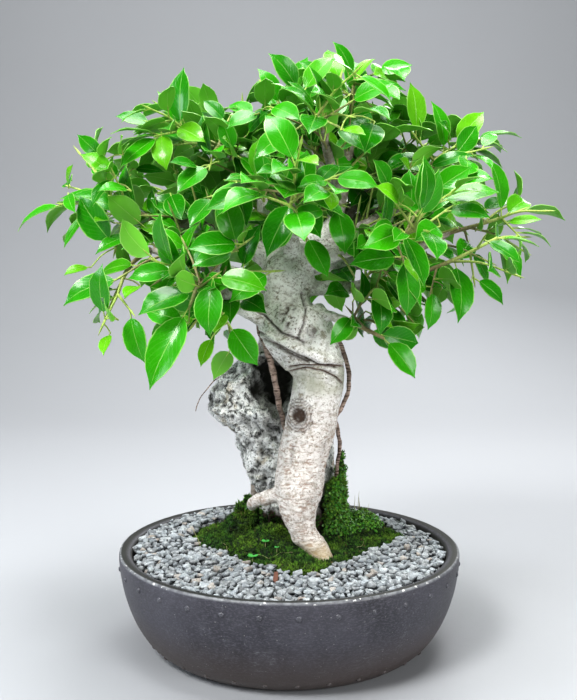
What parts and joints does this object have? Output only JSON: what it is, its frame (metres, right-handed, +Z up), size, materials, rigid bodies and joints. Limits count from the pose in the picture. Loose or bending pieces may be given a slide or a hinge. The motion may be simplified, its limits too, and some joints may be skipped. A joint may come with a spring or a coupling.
{
  "type": "chinese banyan bonsai in a pot",
  "caption": "Bonsai tree grown root over rock, with a wide dome of glossy oval leaves, standing in moss and gravel in a round dark drum-shaped pot with rivets.",
  "frame": {"origin": "centre of the pot's foot, on the surface it stands on", "axes": "+Z up along the pot's axis, -Y towards the tree's front, +X to the right as seen from the front"},
  "size_m": [0.4952, 0.3803, 0.5322],
  "materials": {
    "pot": "unglazed, dark charcoal brown, satin",
    "screen": "black mesh",
    "soil": "damp dark soil",
    "gravel": "crushed blue-grey stone, dry",
    "moss": "deep green moss",
    "rock": "rough porous light grey stone",
    "bark": "pale grey-beige bark with flecks",
    "leaf": "glossy green leaves on yellow-green shoots"
  },
  "bodies": {
    "root": {"pot": "pot", "drain_screen": "screen", "soil": "soil", "gravel": "gravel", "moss": "moss", "rock": "rock", "trunk": "bark", "spray_far_left": "leaf", "spray_low_left": "leaf", "spray_front_left": "leaf", "spray_upper_left": "leaf", "spray_top_left": "leaf", "spray_top": "leaf", "spray_front_top": "leaf", "spray_upper_right": "leaf", "spray_far_right": "leaf", "spray_low_right": "leaf", "spray_front": "leaf", "spray_front_right": "leaf", "spray_low_shoot": "leaf", "spray_back_left": "leaf", "spray_back_right": "leaf", "spray_back_top": "leaf", "spray_back": "leaf", "spray_back_upper_left": "leaf", "spray_back_upper_right": "leaf"}
  },
  "joints": []
}
